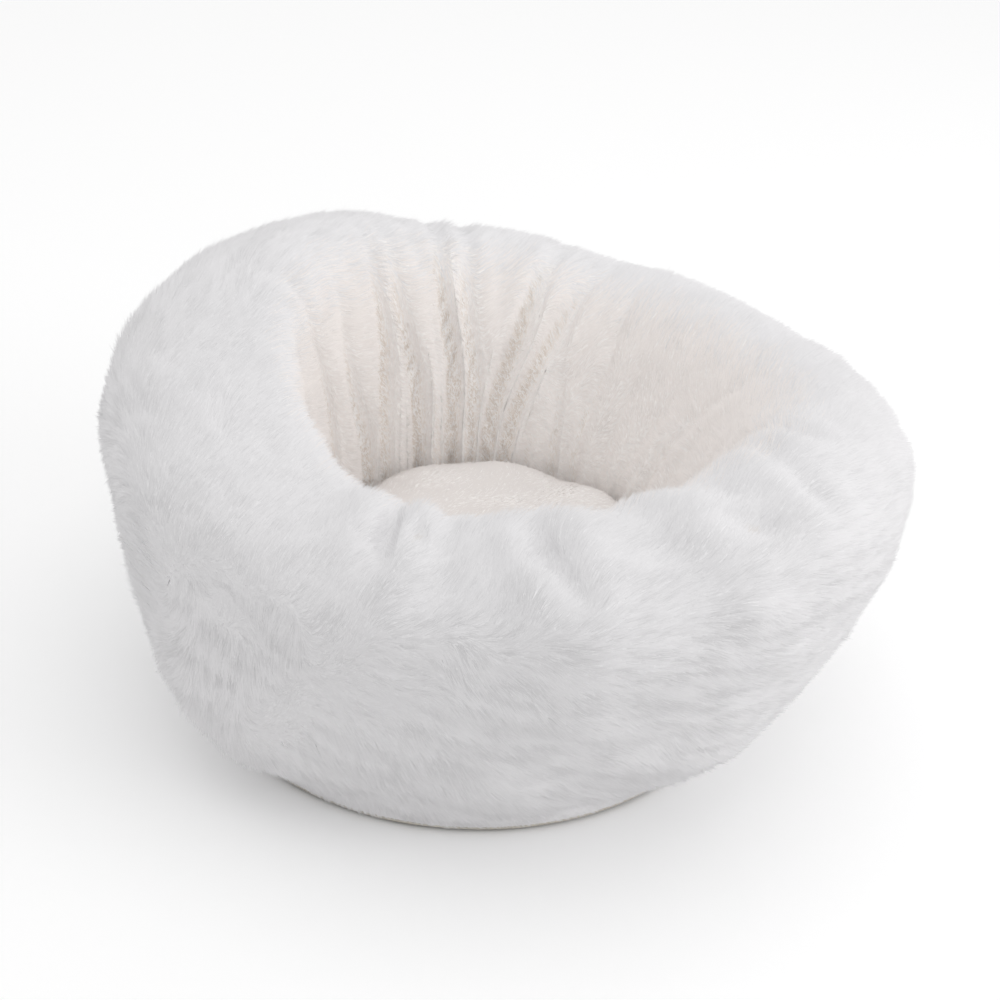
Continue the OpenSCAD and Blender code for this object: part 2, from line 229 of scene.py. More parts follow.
def creased(grid, n):
    """Short creases that the stuffing makes in the cover over the rim, how deep each place is
    in a crease and how near it is to one."""
    move, deep, beside = (np.zeros(grid.shape[:2]) for _ in range(3))
    for turn_a, arc_a, turn_b, arc_b, depth in CREASES:
        tips = []
        for turn, at_arc in ((turn_a, arc_a), (turn_b, arc_b)):
            i = int(round(turn / 360 * COLS)) % COLS
            tips.append(grid[i, np.abs(arc[i] - at_arc).argmin()])
        a, b = tips
        share = np.clip(((grid - a) @ (b - a)) / ((b - a) @ (b - a)), 0, 1)
        d = np.linalg.norm(grid - a - share[..., None] * (b - a), axis=2)
        fullness = np.sin(math.pi * (0.06 + 0.88 * share))  # shallow at both tips
        near = bell(d, CREASE_WIDTH) * fullness
        move -= depth * near
        move += CREASE_PUFF * depth * bell(d - CREASE_PUFF_AWAY, CREASE_PUFF_SPREAD)
        deep = np.maximum(deep, near)
        beside = np.maximum(beside, fullness * bell(d, CREASE_SIDE))
    return grid + n * move[..., None], deep, beside


# The stuffing pushes the wall out in some places, low down or at the rim, and leaves the front
# slacker
low_down = smooth_step(0.002, 0.045, arc) * (1 - smooth_step(0.07, 0.15, arc))
at_rim = bell(row - ROW_CREST + 6, 24)[None, :] * np.ones_like(arc)
# Turn and spread in degrees, size, where
PUSHES = [
    (224, 15, 0.0095, low_down), (318, 17, 0.0080, low_down), (276, 24, -0.0060, low_down),
    (42, 26, 0.0018, at_rim), (142, 24, 0.0042, at_rim), (249, 5, -0.0045, at_rim),
    (263, 4, -0.0040, at_rim), (282, 4, -0.0030, at_rim), (300, 5, -0.0045, at_rim),
    (317, 5, -0.0045, at_rim), (20, 14, -0.0030, at_rim)]
for centre, spread, size, where in PUSHES:
    off = (np.degrees(turns) - centre + 180) % 360 - 180
    push = size * bell(off, spread)[:, None] * where
    wall = wall + wall_n * push[..., None]
# It is lumpy too, less so inside, and not where the zip's tapes or the base seam hold it flat
inner_share = smooth_step(ROW_CREST - 6, ROW_CREST + 10, row)[None, :]
uneven = 0.0026 * lumps(wall, 0.13, 3) + 0.0013 * lumps(wall, 0.05, 4)
rear = np.abs((np.degrees(turns) - 90 + 540) % 360 - 180)
zip_share = smooth_step(54, 50.5, rear)[:, None]
above_zip = smooth_step(0.029, 0.048, arc)
seam_share = smooth_step(0, 0.030, arc) * (1 - smooth_step(62, 53, rear)[:, None] * (1 - above_zip))
wall = wall + wall_n * (uneven * (0.35 + 0.65 * (1 - inner_share)) * seam_share)[..., None]
# The rim is rounded off before the creases and gathers are pressed in
near_crest = bell(row[1:-1] - ROW_CREST, 13)[None, :, None]
CREST_SMOOTHINGS, FOLD_SMOOTHINGS = 60, 2
for k in range(CREST_SMOOTHINGS):
    wall[:, 1:-1] += 0.5 * near_crest * ((wall[:, :-2] + wall[:, 2:]) / 2 - wall[:, 1:-1])
wall, in_crease, by_crease = creased(wall, normals_of(wall))
wall, in_gather, by_gather = gathered(wall, normals_of(wall))
for k in range(FOLD_SMOOTHINGS):
    wall[:, 1:-1] += 0.5 * ((wall[:, :-2] + wall[:, 2:]) / 2 - wall[:, 1:-1])
wall_n = normals_of(wall)

# Where the zip lies, the cover ends at the tape; elsewhere the skin lies a pile below the frame
OUTER_DEPTH, RIM_DEPTH, INNER_DEPTH, TAPE_DEPTH = 0.0074, 0.0058, 0.0048, 0.0009
to_rim = smooth_step(ROW_WIDE - 20, ROW_WIDE + 10, row)[None, :]
pile_depth = OUTER_DEPTH - (OUTER_DEPTH - RIM_DEPTH) * to_rim
skin_depth = pile_depth * smooth_step(-0.002, 0.022, arc) * (1 - inner_share)
skin_depth = skin_depth + INNER_DEPTH * inner_share
skin_depth = skin_depth * (1 - zip_share) + zip_share * (
    TAPE_DEPTH + (skin_depth - TAPE_DEPTH) * above_zip)
skin = wall - wall_n * skin_depth[..., None]
skin_n = normals_of(skin)


# ---------------------------------------------------------------- materials

def principled(name, colour, rough=0.8, sheen=0.0, specular=0.3):
    """A material of plain values, which the others build on."""
    m = bpy.data.materials.new(name)
    m.use_nodes = True
    p = m.node_tree.nodes["Principled BSDF"]
    p.inputs["Base Color"].default_value = (*colour, 1)
    p.inputs["Roughness"].default_value = rough
    p.inputs["Specular IOR Level"].default_value = specular
    p.inputs["Sheen Weight"].default_value = sheen
    p.inputs["Sheen Roughness"].default_value = 0.5
    return m


def add_noise(tree, scale, detail):
    """Noise in the object's own space."""
    coord = tree.nodes.new("ShaderNodeTexCoord")
    noise = tree.nodes.new("ShaderNodeTexNoise")
    noise.inputs["Scale"].default_value, noise.inputs["Detail"].default_value = scale, detail
    tree.links.new(coord.outputs["Object"], noise.inputs["Vector"])
    return noise.outputs["Fac"]


def add_ramp(tree, value, low, high):
    """The output value, stretched from 0 to 1 onto low to high."""
    ramp = tree.nodes.new("ShaderNodeMapRange")
    ramp.inputs["To Min"].default_value, ramp.inputs["To Max"].default_value = low, high
    tree.links.new(value, ramp.inputs["Value"])
    return ramp.outputs["Result"]


def add_shade(tree, colour, share):
    """colour times the output share, as the base colour."""
    mix = tree.nodes.new("ShaderNodeVectorMath")
    mix.operation = "SCALE"
    mix.inputs[0].default_value = colour
    tree.links.new(share, mix.inputs["Scale"])
    tree.links.new(mix.outputs[0], tree.nodes["Principled BSDF"].inputs["Base Color"])


def add_bump(tree, height, strength, distance):
    """The output height as bump."""
    bump = tree.nodes.new("ShaderNodeBump")
    bump.inputs["Strength"].default_value = strength
    bump.inputs["Distance"].default_value = distance
    tree.links.new(height, bump.inputs["Height"])
    tree.links.new(bump.outputs["Normal"], tree.nodes["Principled BSDF"].inputs["Normal"])


def plush_material(name, colour, scale=260):
    """Fine unevenness as colour and bump, for the backing under pile, wadding and rubber."""
    m = principled(name, colour, 0.9, 0.2, specular=0.1)
    noise = add_noise(m.node_tree, scale, 5)
    add_shade(m.node_tree, colour, add_ramp(m.node_tree, noise, 0.82, 1.06))
    add_bump(m.node_tree, noise, 0.6, 0.002)
    return m


def weave_material(name, colour, scale, darkest=0.7):
    """Plain weave: two crossed sets of threads as colour and bump. darkest is the share of the
    colour left between threads."""
    m = principled(name, colour, 0.9, 0.1, specular=0.15)
    t = m.node_tree
    coord = t.nodes.new("ShaderNodeTexCoord")
    height = t.nodes.new("ShaderNodeMath")
    height.operation = "MAXIMUM"
    for i, axis in enumerate("XY"):
        threads = t.nodes.new("ShaderNodeTexWave")
        threads.bands_direction = axis
        threads.inputs["Scale"].default_value = scale / 6.283
        threads.inputs["Distortion"].default_value = 0.4
        t.links.new(coord.outputs["Object"], threads.inputs["Vector"])
        t.links.new(threads.outputs["Fac"], height.inputs[i])
    add_shade(t, colour, add_ramp(t, height.outputs[0], darkest, 1.05))
    add_bump(t, height.outputs[0], 0.5, 0.0004)
    return m


WHITE, CREAM = (0.790, 0.780, 0.790), (0.865, 0.818, 0.793)
SHADES = (0.90, 0.945, 0.98, 1.0, 1.02)
# Darker, warmer copies of the pile colour: painted shade deep in the gathers and creases
PAINTED_FOLD_SHADES = ((0.93, 0.91, 0.88), (0.84, 0.80, 0.75))
under_white = plush_material("plush_backing", (0.86, 0.85, 0.86))
under_cream = plush_material("short_plush_backing", (0.93, 0.90, 0.88))


def pile_materials(name, colour):
    """Pile in several shades of colour, then the darker, warmer ones that paint shade in the folds.
    """
    colours = [[c * s for c in colour] for s in SHADES]
    colours += [[c * s for c, s in zip(colour, fold)] for fold in PAINTED_FOLD_SHADES]
    return [principled(f"{name}_{i}", c, 0.85, 0.15, specular=0.15)
            for i, c in enumerate(colours)]


# ---------------------------------------------------------------- meshes

def grid_mesh(name, grid, materials):
    """A skin over a grid of points that closes round its columns."""
    cols, rows = grid.shape[:2]
    i, j = np.meshgrid(np.arange(cols), np.arange(rows - 1), indexing="ij")
    i2 = (i + 1) % cols
    faces = np.stack([i * rows + j, i2 * rows + j, i2 * rows + j + 1, i * rows + j + 1],
                     axis=2).reshape(-1, 4)
    return mesh_of(name, grid.reshape(-1, 3), faces, materials)


def mesh_of(name, points, faces, materials=()):
    """A smooth-shaded mesh object in the scene."""
    mesh = bpy.data.meshes.new(name)
    mesh.from_pydata(np.asarray(points).tolist(), [], [list(map(int, f)) for f in faces])
    mesh.polygons.foreach_set("use_smooth", np.ones(len(mesh.polygons), bool))
    for m in materials:
        mesh.materials.append(m)
    obj = bpy.data.objects.new(name, mesh)
    scene.collection.objects.link(obj)
    return obj


def sample(grid, normal, density, count, r):
    """Random places on a closed grid, denser where density is higher. Returns point, normal,
    direction along the columns, direction along the rows, and the grid position."""
    cols, rows = grid.shape[:2]
    a = np.roll(grid, -1, 0) - grid
    cell = np.linalg.norm(np.cross(a[:, :-1], grid[:, 1:] - grid[:, :-1]), axis=2)
    weight = (cell * density[:, :-1]).ravel()
    run = np.cumsum(weight)
    pick = np.searchsorted(run, (np.arange(count) + r.uniform(size=count)) / count * run[-1])
    pick = np.minimum(pick, len(run) - 1)
    i, j = np.divmod(pick, rows - 1)
    fu, fv = r.uniform(size=(2, count))
    i2 = (i + 1) % cols

    def at(field):
        f = [field[i, j], field[i2, j], field[i, j + 1], field[i2, j + 1]]
        w = [(1 - fu) * (1 - fv), fu * (1 - fv), (1 - fu) * fv, fu * fv]
        return sum(x * (y[:, None] if x.ndim == 2 else y) for x, y in zip(f, w))

    n = at(normal)
    n /= np.linalg.norm(n, axis=1, keepdims=True)
    up = grid[i, j + 1] - grid[i, j]
    up -= n * (up * n).sum(1, keepdims=True)
    up /= np.linalg.norm(up, axis=1, keepdims=True)
    return at(grid), n, np.cross(up, n), up, i + fu, j + fv, at


def unit(v):
    """Vectors made one long."""
    return v / np.maximum(np.linalg.norm(v, axis=-1, keepdims=True), 1e-9)


STRAND_SEGMENTS, CLUMP_PULL, CLUMP_SIZE = 2, 0.42, 8
LOWEST_STRAND = 0.0012


def pile(name, root, n, lay, length, lift, tone, materials, body, soft_n, seed,
         width=0.00055, curl=0.30, soft=0.80):
    """Strands of pile as tapered ribbons from root places, surface normals, lay directions,
    lengths, how upright each one is, the material that each one takes and the normals that the
    pile is shaded with. Neighbours lean together in clumps."""
    segments = STRAND_SEGMENTS
    r = np.random.default_rng(seed)
    count = len(root)
    start = unit(n * lift[:, None] + lay * (1 - lift[:, None]) + r.normal(0, 0.08, (count, 3)))
    turn = r.normal(0, curl, (count, 3))
    points = [root]
    along = start
    for k in range(segments):
        along = unit(along + (lay * 0.35 + turn * 0.5 - n * 0.10) * (k > 0))
        points.append(points[-1] + along * (length / segments)[:, None])
    points = np.stack(points, axis=1)
    leaders = r.choice(count, max(2, count // CLUMP_SIZE), replace=False)
    tree = kdtree.KDTree(len(leaders))
    for i, q in enumerate(root[leaders].tolist()):
        tree.insert(q, i)
    tree.balance()
    near = leaders[np.array([tree.find(q)[1] for q in root.tolist()])]
    pull = CLUMP_PULL * r.uniform(0.5, 1.3, count)[:, None, None]
    share = (np.arange(segments + 1) / segments)[None, :, None] ** 1.2
    points = points + (points[near] - points) * pull * share
    direction = unit(np.gradient(points, axis=1))
    points[..., 2] = np.maximum(points[..., 2], LOWEST_STRAND)
    view = unit(n[:, None, :] + r.normal(0, 0.2, (count, 1, 3)))
    side = unit(np.cross(direction, view))
    flip = np.einsum("ijk,ik->i", np.cross(side, direction), n) < 0
    side[flip] *= -1
    taper = np.linspace(1, 0, segments + 1)[None, :, None] ** 0.6
    half = 0.5 * width * taper
    left, right = points - side * half, points + side * half
    rows = 2 * segments + 1
    verts = np.empty((count, rows, 3))
    verts[:, 0:-1:2], verts[:, 1:-1:2], verts[:, -1] = left[:, :-1], right[:, :-1], points[:, -1]
    face_n = unit(np.cross(side, direction))
    # Shaded mostly like the surface below, and a little as if each strand were round
    shade = unit(soft_n[:, None] * soft + face_n * (1 - soft))
    vert_n = np.empty_like(verts)
    vert_n[:, 0:-1:2] = shade[:, :-1] - 0.2 * side[:, :-1]
    vert_n[:, 1:-1:2] = shade[:, :-1] + 0.2 * side[:, :-1]
    vert_n[:, -1] = shade[:, -1]
    vert_n = unit(vert_n)
    faces = [[2 * k, 2 * k + 1, 2 * k + 3, 2 * k + 2] for k in range(segments - 1)]
    faces.append([2 * segments - 2, 2 * segments - 1, 2 * segments])
    per_strand = len(faces)
    loops = np.array(sum(faces, []))
    base = (np.arange(count) * rows)[:, None]
    sizes = np.array([len(face) for face in faces])
    starts = np.concatenate([[0], np.cumsum(sizes)[:-1]])
    mesh = bpy.data.meshes.new(name)
    mesh.vertices.add(count * rows)
    mesh.vertices.foreach_set("co", verts.astype(np.float32).ravel())
    mesh.loops.add(count * len(loops))
    mesh.loops.foreach_set("vertex_index", (base + loops).ravel().astype(np.int32))
    mesh.polygons.add(count * per_strand)
    mesh.polygons.foreach_set("loop_start", (np.arange(count)[:, None] * len(loops)
                                             + starts).ravel().astype(np.int32))
    mesh.polygons.foreach_set("use_smooth", np.ones(count * per_strand, bool))
    for m in materials:
        mesh.materials.append(m)
    mesh.polygons.foreach_set("material_index", np.repeat(tone, per_strand).astype(np.int32))
    mesh.update(calc_edges=True)
    normal = mesh.attributes.new("custom_normal", "FLOAT_VECTOR", "POINT")
    normal.data.foreach_set("vector", vert_n.astype(np.float32).ravel())
    obj = bpy.data.objects.new(name, mesh)
    scene.collection.objects.link(obj)
    obj.visible_shadow = obj.visible_diffuse = False
    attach(obj, body)
    return obj


outer_skin = grid_mesh("outer_cover_skin", skin[:, :ROW_CREST + 1], [under_white])
inner_skin = grid_mesh("inner_cover_skin", skin[:, ROW_CREST:], [under_cream])
for o, n in ((outer_skin, "outer_cover"), (inner_skin, "inner_cover")):
    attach(o, "bed")
    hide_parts(n)
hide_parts("fill_liner", "wall_fill")


# ---------------------------------------------------------------- cushion

def revolved(name, profile, centre, segments=96):
    """A closed solid of revolution from profile points [radius, z], the ends on the axis."""
    a = np.arange(segments) / segments * 2 * math.pi
    ring = np.array([[r * math.cos(b) + centre[0], r * math.sin(b) + centre[1], z]
                     for r, z in profile[1:-1] for b in a])
    points = np.vstack([ring, [[*centre, profile[0][1]], [*centre, profile[-1][1]]]])
    n = len(profile) - 2
    faces = []
    for i in range(n - 1):
        for k in range(segments):
            m = (k + 1) % segments
            faces.append((i * segments + k, i * segments + m, (i + 1) * segments + m,
                          (i + 1) * segments + k))
    low, high = n * segments, n * segments + 1
    for k in range(segments):
        m = (k + 1) % segments
        faces.append((low, m, k))
        faces.append((high, (n - 1) * segments + k, (n - 1) * segments + m))
    return mesh_of(name, points, faces)


def applied(obj):
    """Applies obj's modifiers to its mesh."""
    graph = bpy.context.evaluated_depsgraph_get()
    mesh = bpy.data.meshes.new_from_object(obj.evaluated_get(graph))
    obj.modifiers.clear()
    obj.data = mesh


def vertices(obj):
    """The places of obj's vertices as [n, 3]."""
    co = np.empty(len(obj.data.vertices) * 3, np.float32)
    obj.data.vertices.foreach_get("co", co)
    return co.reshape(-1, 3).astype(float)


def set_vertices(obj, co):
    """Puts obj's vertices at the places co."""
    obj.data.vertices.foreach_set("co", np.asarray(co, np.float32).ravel())
    obj.data.update()


TOP_LOW, TOP_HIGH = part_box("cushion_top")
BOTTOM_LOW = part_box("cushion_bottom")[0]
CUSHION = np.array((TOP_LOW + TOP_HIGH) / 2)[:2]
CUSHION_R, SEAM_Z = (TOP_HIGH.x - TOP_LOW.x) / 2, TOP_LOW.z
DOME_POWER, UNDER_POWER = 0.77, 0.5
FLAT_WIDTH, FLAT_HEIGHT = 0.975, 0.93  # of the cover before it is inflated, as shares
MOST_INFLATION = 0.012
steps = np.linspace(0, math.pi / 2, 15)
dome = [(CUSHION_R * math.cos(a) ** DOME_POWER,
         SEAM_Z + (TOP_HIGH.z - SEAM_Z) * math.sin(a) ** DOME_POWER) for a in steps[::-1]]
under = [(CUSHION_R * math.cos(a) ** UNDER_POWER,
          SEAM_Z + (BOTTOM_LOW.z - SEAM_Z) * math.sin(a) ** UNDER_POWER) for a in steps[1:]]
dome[0], under[-1] = (0, TOP_HIGH.z), (0, BOTTOM_LOW.z)
pillow = revolved("cushion_cover", [(r * FLAT_WIDTH, SEAM_Z + (z - SEAM_Z) * FLAT_HEIGHT)
                                   for r, z in dome + under], CUSHION)
VOXEL, CLOTH_PRESSURE, CLOTH_FRAMES = 0.005, 4, 20
remesh = pillow.modifiers.new("remesh", "REMESH")
remesh.mode, remesh.voxel_size = "VOXEL", VOXEL
applied(pillow)
before = vertices(pillow)
cloth = pillow.modifiers.new("cloth", "CLOTH")
cloth.settings.use_pressure = True
cloth.settings.uniform_pressure_force = CLOTH_PRESSURE
cloth.settings.effector_weights.gravity = 0
for f in range(1, CLOTH_FRAMES + 1):
    scene.frame_set(f)
applied(pillow)
scene.frame_set(1)
shift = vertices(pillow) - before
reach = np.linalg.norm(shift, axis=1, keepdims=True)
set_vertices(pillow, before + shift * np.minimum(1, MOST_INFLATION / np.maximum(reach, 1e-9)))
smooth = pillow.modifiers.new("smooth", "SUBSURF")
smooth.levels = smooth.render_levels = 1
applied(pillow)
co = vertices(pillow)
out = co - np.array([*CUSHION, SEAM_Z])
radius = np.linalg.norm(out[:, :2], axis=1)
outward = np.c_[out[:, :2] / np.maximum(radius, 1e-6)[:, None], np.zeros(len(co))]
turn = np.arctan2(out[:, 1], out[:, 0])
# The seam round the cushion's edge draws it in, more at each pucker
PUCKERS, SEAM_DRAW, PUCKER_DRAW, EDGE_ROOM = 41, 0.0024, 0.0012, 0.0035
near_seam = bell(out[:, 2], 0.004) * smooth_step(0.08, 0.095, radius)
pucker = 0.5 + 0.5 * np.sin(turn * PUCKERS + 2 * np.sin(turn * 3))
co -= outward * (near_seam * (SEAM_DRAW + PUCKER_DRAW * pucker))[:, None]
co[:, 2] += 0.0022 * lumps(co, 0.07, 71) * smooth_step(0, 0.02, out[:, 2])
limit = CUSHION_R - EDGE_ROOM
co[:, :2] -= outward[:, :2] * np.maximum(radius - limit, 0)[:, None]
co[:, 2] = np.maximum(co[:, 2], BOTTOM_LOW.z)
set_vertices(pillow, co)
pillow.data.materials.clear()
pillow.data.materials.append(under_cream)
pillow.data.materials.append(weave_material("cushion_base_weave", (0.60, 0.55, 0.47), 900, 0.93))
centre_z = np.array([p.center.z for p in pillow.data.polygons])
pillow.data.polygons.foreach_set("material_index", (centre_z < SEAM_Z).astype(np.int32))
pillow.data.polygons.foreach_set("use_smooth", np.ones(len(centre_z), bool))
pillow.data.update()
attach(pillow, "cushion")
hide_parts("cushion_top", "cushion_bottom", "cushion_fill")

# ---------------------------------------------------------------- pile

WALL_STRANDS = 430000
TOP_STRANDS = 60000
# Denser in the well, sparser low down in it behind the cushion, and none over the zip
density = np.where(row > ROW_WELL + 8, 0.45, np.where(row > ROW_CREST, 1.25, 1.0))[None, :]
density = density * (1 - zip_share * (1 - smooth_step(0.0285, 0.0300, arc)))
density = density * smooth_step(0.0, 0.003, arc)
r = np.random.default_rng(21)
root, n, across, up, ci, cj, at = sample(skin, skin_n, density, WALL_STRANDS, r)
at_arc, at_zip = at(arc), at(np.broadcast_to(zip_share, arc.shape))
in_fold = at(in_gather)
# The pile lies in streaks, longer along its lay than across it
around = np.stack([np.arctan2(root[:, 1], root[:, 0]) * 0.06, at_arc, 0.2 * root[:, 2]], axis=1)
fine, coarse, patch = lumps(around, 0.003, 61), lumps(around, 0.009, 62), lumps(root, 0.025, 63)
inner = smooth_step(ROW_CREST + 2, ROW_CREST + 34, cj)
# Brushed to one side and to the rear, with waves in it
BRUSHED = np.array([0.70, 0.70, -0.12])
waves = [lumps(root, 0.10, 31), 0.6 * lumps(root, 0.04, 32), 0.8 * inner * lumps(root, 0.03, 34)]
lay = BRUSHED - n * (n @ BRUSHED)[:, None] + 0.30 * up * (waves[0] + waves[1] + waves[2])[:, None]
# It hangs down over the base seam, and lies along the folds
hang = (1 - smooth_step(0.004, 0.025, at_arc))[:, None]
lay = unit(lay - up * 0.8 * hang - up * 0.25 * inner[:, None])
by_fold = at(by_gather)[:, None]
lay = unit(lay * (1 - 0.85 * by_fold) + 0.85 * up * by_fold)
OUTER_LENGTH, INNER_LENGTH, CUSHION_LENGTH = 0.0110, 0.0046, 0.0046
length = (OUTER_LENGTH + 0.0015 * lumps(root, 0.03, 33)) * (1 - inner) + INNER_LENGTH * inner
# Shorter at the base seam, beside the zip and in the folds
length *= r.uniform(0.75, 1.15, WALL_STRANDS)
length *= 0.50 + 0.50 * smooth_step(0.0, 0.03, at_arc)
length *= 1 - 0.45 * at_zip * (1 - smooth_step(0.030, 0.050, at_arc))
length *= 1 - 0.35 * by_fold[:, 0] - 0.25 * in_fold - 0.45 * at(by_crease)
OUTER_LIFT, INNER_LIFT, CUSHION_LIFT = 0.38, 0.44, 0.38
lift = OUTER_LIFT + (INNER_LIFT - OUTER_LIFT) * inner
lift *= 0.5 + 0.5 * smooth_step(0.0, 0.03, at_arc)
outer_pile = pile_materials("outer_pile", WHITE)
inner_pile = pile_materials("inner_pile", CREAM)
creamy = r.uniform(size=WALL_STRANDS) < smooth_step(ROW_CREST - 4, ROW_CREST + 16, cj)
wispy = 1.0 + 0.7 * smooth_step(ROW_CREST - 12, ROW_WIDE - 10, cj)
level = wispy * (0.32 * fine + 0.30 * coarse + 0.28 * patch) + r.normal(0, 0.35, WALL_STRANDS)
# Deep in a crease counts as deep in a fold, for the painted fold shade
in_fold = np.maximum(in_fold, 0.8 * at(in_crease) ** 3)
# Each strand takes one of the five shades, or, deep in a fold, one of the two darker fold shades
# after them, which are painted shade
tone = np.where(in_fold > r.uniform(0.40, 0.55, WALL_STRANDS),
                len(SHADES) + (in_fold > 0.75),
                np.digitize(level, (-0.75, -0.35, 0.05, 0.5))) + len(outer_pile) * creamy
soft_n = unit(n + up * (wispy * (0.15 * fine + 0.14 * coarse))[:, None]
              + across * (wispy * (0.10 * patch + 0.10 * lumps(around, 0.009, 64)))[:, None])
is_inner = cj > ROW_CREST
OUTER_SECTORS, INNER_SECTORS = 6, 3
sector = np.where(is_inner, OUTER_SECTORS + np.floor(ci / COLS * INNER_SECTORS).astype(int),
                  np.floor(ci / COLS * OUTER_SECTORS).astype(int))
for k in range(OUTER_SECTORS + INNER_SECTORS):
    m = sector == k
    outer = k < OUTER_SECTORS
    name = f"outer_pile_{k + 1}" if outer else f"inner_pile_{k + 1 - OUTER_SECTORS}"
    tufts = pile(name, root[m], n[m], lay[m], length[m], lift[m], tone[m],
                 outer_pile + inner_pile, "bed", soft_n[m], seed=40 + k)

# The cushion's pile: random places on its top, denser on larger triangles
cushion_pile = pile_materials("cushion_pile", [0.90 * c for c in CREAM])
mesh = pillow.data
mesh.calc_loop_triangles()
tri = np.empty(len(mesh.loop_triangles) * 3, np.int32)
mesh.loop_triangles.foreach_get("vertices", tri)
tri = tri.reshape(-1, 3)
vn = np.empty(len(mesh.vertices) * 3, np.float32)
mesh.vertices.foreach_get("normal", vn)
vn = vn.reshape(-1, 3).astype(float)
co = vertices(pillow)
corner = co[tri]
size = np.linalg.norm(np.cross(corner[:, 1] - corner[:, 0], corner[:, 2] - corner[:, 0]), axis=1)
size *= smooth_step(SEAM_Z, SEAM_Z + 0.003, corner[:, :, 2].mean(1))
r = np.random.default_rng(81)
run = np.cumsum(size)
pick = np.searchsorted(run, r.uniform(0, run[-1], TOP_STRANDS)).clip(0, len(run) - 1)
a, b = r.uniform(size=(2, TOP_STRANDS))
a, b = np.where(a + b > 1, 1 - a, a), np.where(a + b > 1, 1 - b, b)
share = np.stack([1 - a - b, a, b], axis=1)[:, :, None]
root, n = (corner[pick] * share).sum(1), unit((vn[tri[pick]] * share).sum(1))
heading = 1.0 * lumps(root, 0.09, 82) + 0.5 * lumps(root, 0.03, 83)
flat = np.stack([np.cos(heading), np.sin(heading), 0 * heading], axis=1)
lay = unit(flat - n * (flat * n).sum(1, keepdims=True))
length = CUSHION_LENGTH * r.uniform(0.75, 1.2, TOP_STRANDS)
level = 0.2 * lumps(root, 0.006, 86) + r.normal(0, 0.12, TOP_STRANDS)
tufts = pile("cushion_pile", root - n * 0.0005, n, lay, length,
             np.full(TOP_STRANDS, CUSHION_LIFT), np.digitize(level, (-0.95, -0.55, -0.15, 0.5)),
             cushion_pile, "cushion", n, seed=84, width=0.00075, curl=0.2, soft=0.9)

# ---------------------------------------------------------------- small fabric pieces

def solid_grid(name, outer, inner, materials, closed=True):
    """A closed sheet between two grids of points, joined round their edges."""
    cols, rows = outer.shape[:2]
    points = np.concatenate([outer.reshape(-1, 3), inner.reshape(-1, 3)])
    half, faces = cols * rows, []
    for i in range(cols if closed else cols - 1):
        k = (i + 1) % cols
        for j in range(rows - 1):
            a, b, c, d = i * rows + j, k * rows + j, k * rows + j + 1, i * rows + j + 1
            faces += [(a, b, c, d), (half + d, half + c, half + b, half + a)]
        a, b = i * rows, k * rows
        faces += [(half + a, half + b, b, a),
                  (a + rows - 1, b + rows - 1, half + b + rows - 1, half + a + rows - 1)]
    if not closed:
        last = (cols - 1) * rows
        for j in range(rows - 1):
            faces.append((j, j + 1, half + j + 1, half + j))
            faces.append((half + last + j, half + last + j + 1, last + j + 1, last + j))
    return mesh_of(name, points, faces, materials)


SLOPE = math.atan2(EDGE_H, EDGE_W)


def on_edge(turn, along, lift):
    """Places on the edge cone: turn in radians, distance up the cone, distance out of it."""
    turn, along, lift = np.broadcast_arrays(turn, along, lift)
    r = EDGE_R + along * math.cos(SLOPE) + lift * math.sin(SLOPE)
    z = EDGE_Z + along * math.sin(SLOPE) - lift * math.cos(SLOPE)
    return np.stack([r * np.cos(turn), r * np.sin(turn), z], axis=-1)


def tube(name, path, radius, sides, materials):
    """A round thread along path [n, 3], open at both ends."""
    along = unit(np.gradient(path, axis=0))
    guide = np.array([0.0, 0.0, 1.0])
    side = unit(np.cross(along, guide))
    rise = np.cross(side, along)
    a = np.arange(sides) / sides * 2 * math.pi
    ring = (path[:, None] + radius * np.cos(a)[None, :, None] * side[:, None]
            + radius * np.sin(a)[None, :, None] * rise[:, None])
    i, j = np.meshgrid(np.arange(len(path) - 1), np.arange(sides), indexing="ij")
    j2 = (j + 1) % sides
    faces = np.stack([i * sides + j, i * sides + j2, (i + 1) * sides + j2, (i + 1) * sides + j],
                     axis=2).reshape(-1, 4)
    return mesh_of(name, ring.reshape(-1, 3), faces, materials)


def stitches(name, starts, ends, normals, materials, radius=0.00035):
    """A row of stitches: short threads that dive into the cloth at both ends."""
    points, faces, sides = [], [], 6
    a = np.arange(sides) / sides * 2 * math.pi
    for start, end, n in zip(starts, ends, normals):
        along = unit(end - start)
        side = np.cross(along, n)
        first = len(points)
        for share, height, thick in ((0, -0.6, 0.5), (0.2, 0.3, 1), (0.5, 0.6, 1.1),
                                     (0.8, 0.3, 1), (1, -0.6, 0.5)):
            middle = start + (end - start) * share + n * radius * height
            points += [middle + radius * thick * (math.cos(b) * side + math.sin(b) * n) for b in a]
        for k in range(4):
            for j in range(sides):
                m = (j + 1) % sides
                p = first + k * sides
                faces.append((p + j, p + m, p + sides + m, p + sides + j))
        faces.append(tuple(first + j for j in range(sides))[::-1])
        faces.append(tuple(first + 4 * sides + j for j in range(sides)))
    return mesh_of(name, points, faces, materials)


def disc_grid(radius, rows, cols, centre):
    """A disc as rings of points round centre, from the middle out: x, y and distance out."""
    out = radius * np.linspace(0.001, 1, rows)[None, :]
    turn = (np.arange(cols) / cols * 2 * math.pi)[:, None]
    return centre[0] + out * np.cos(turn), centre[1] + out * np.sin(turn), out + 0 * turn


